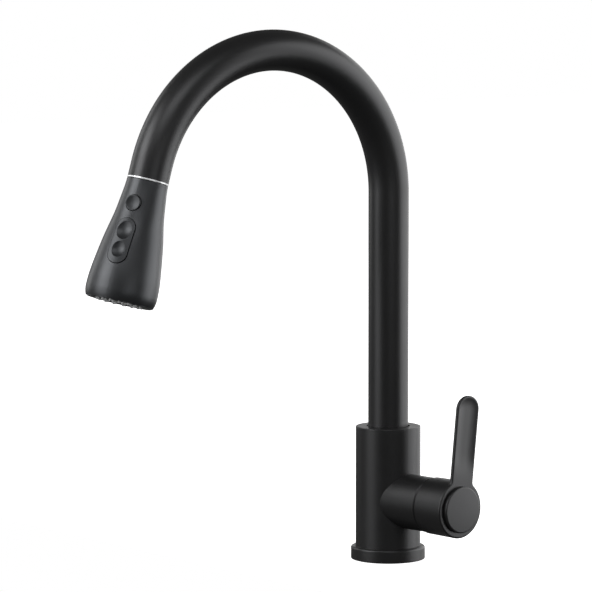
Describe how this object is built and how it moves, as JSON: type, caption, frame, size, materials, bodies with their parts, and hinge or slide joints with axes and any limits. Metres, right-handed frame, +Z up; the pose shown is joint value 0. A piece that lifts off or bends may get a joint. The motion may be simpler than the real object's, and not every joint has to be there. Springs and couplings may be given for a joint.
{
  "type": "pull-down kitchen faucet",
  "caption": "Single-lever kitchen mixer with a high swivelling gooseneck and a pull-down spray head that has a pause button and a mode rocker.",
  "frame": {"origin": "centre of the base on the deck, at the underside of the base gasket", "axes": "+Z up; the spout reaches along -Y; the lever's valve axis points 5.8 degrees from +X towards +Y"},
  "size_m": [0.1094, 0.2953, 0.4611],
  "materials": {
    "black_metal": "satin",
    "head_black": "satin",
    "button_black": "satin",
    "face_black": "matt",
    "bright_ring": "polished",
    "brass": "machined",
    "steel": "plain",
    "black_rubber": "matt",
    "nozzle_silicone": "matt",
    "white_acetal": "moulded",
    "nut_black": "moulded",
    "ceramic_disc": "lapped",
    "hose_braid": "braided nylon"
  },
  "bodies": {
    "body": {"base_ring": "black_metal", "base_gasket": "black_rubber", "threaded_shank": "brass", "deck_washer_rubber": "black_rubber", "deck_washer_steel": "steel", "shank_nut": "brass", "nut_jack_screws": "steel", "valve_body": "black_metal", "waterway_block": "brass", "cartridge_base": "white_acetal", "port_seals": "black_rubber", "cartridge_housing": "white_acetal", "fixed_disc": "ceramic_disc", "cartridge_nut": "brass", "dome_cover": "black_metal", "neck_thrust_washer": "white_acetal", "neck_bushing": "white_acetal", "neck_grub_screw": "steel", "hose_in_body": "hose_braid"},
    "spout": {"neck_tube": "black_metal", "neck_foot": "brass", "neck_orings": "black_rubber", "dock_bushing": "white_acetal", "dock_ring": "bright_ring", "hose_in_neck": "hose_braid"},
    "hose_end": {"hose_stub": "hose_braid", "hose_ferrule": "steel", "hose_tail": "brass"},
    "spray_head": {"hose_nut": "nut_black", "hose_washer": "black_rubber", "head_shell": "head_black", "head_core": "white_acetal", "check_valve": "white_acetal", "head_screws": "steel", "pause_spring": "steel", "rocker_pin": "steel", "spray_face": "face_black", "face_bezel": "head_black", "nozzle_mat": "nozzle_silicone", "aerator": "white_acetal", "aerator_screen": "steel"},
    "pause": {"pause_button": "button_black", "pause_plunger": "white_acetal"},
    "rocker": {"mode_rocker": "button_black"},
    "diverter": {"diverter_slide": "white_acetal"},
    "valve_rotor": {"cartridge_rotor": "white_acetal", "stem_pin": "steel"},
    "lever": {"stem": "steel", "lever_handle": "black_metal", "handle_screw": "steel", "handle_cap": "black_metal"},
    "mixing_disc": {"moving_disc": "ceramic_disc", "disc_carrier": "white_acetal"}
  },
  "joints": [
    {"name": "spout_swivel", "type": "hinge", "parent": "body", "child": "spout", "pos_m": [0, 0, 0.08], "axis": [0, 0, 1], "continuous": true},
    {"name": "pull_down", "type": "slide", "parent": "spout", "child": "hose_end", "axis": [0, -0.284, -0.9588], "range_m": [0, 0.45]},
    {"name": "head_turn", "type": "hinge", "parent": "hose_end", "child": "spray_head", "pos_m": [0, -0.217, 0.29486], "axis": [0, -0.284, -0.9588], "continuous": true},
    {"name": "pause_press", "type": "slide", "parent": "spray_head", "child": "pause", "axis": [-0.527, 0.8149, -0.2414], "range_m": [0, 0.0015], "stiffness_N_per_m": 800, "springref_m": -0.0025, "deforming": ["pause_spring"]},
    {"name": "rocker_tip", "type": "hinge", "parent": "spray_head", "child": "rocker", "pos_m": [0.00879, -0.24442, 0.25224], "axis": [0.8499, 0.5053, -0.1497], "range_deg": [-3.5, 3.5]},
    {"name": "diverter_shift", "type": "slide", "parent": "spray_head", "child": "diverter", "axis": [0, -0.284, -0.9588], "range_m": [-0.000366, 0.000366]},
    {"name": "temperature", "type": "hinge", "parent": "body", "child": "valve_rotor", "pos_m": [0, 0, 0.0456], "axis": [0.9949, 0.1011, 0], "range_deg": [-43.6, 56.4]},
    {"name": "lift", "type": "hinge", "parent": "valve_rotor", "child": "lever", "pos_m": [0.03681, 0.00374, 0.0456], "axis": [-0.1004, 0.9887, -0.1115], "range_deg": [0, 25]},
    {"name": "disc_slide", "type": "slide", "parent": "valve_rotor", "child": "mixing_disc", "axis": [-0.0113, 0.1109, 0.9938], "range_m": [0, 0.0018]}
  ],
  "couplings": [
    {"joint": "diverter_shift", "follows": "rocker_tip", "m_per_rad": -0.005934},
    {"joint": "disc_slide", "follows": "lift", "m_per_rad": 0.004068}
  ]
}
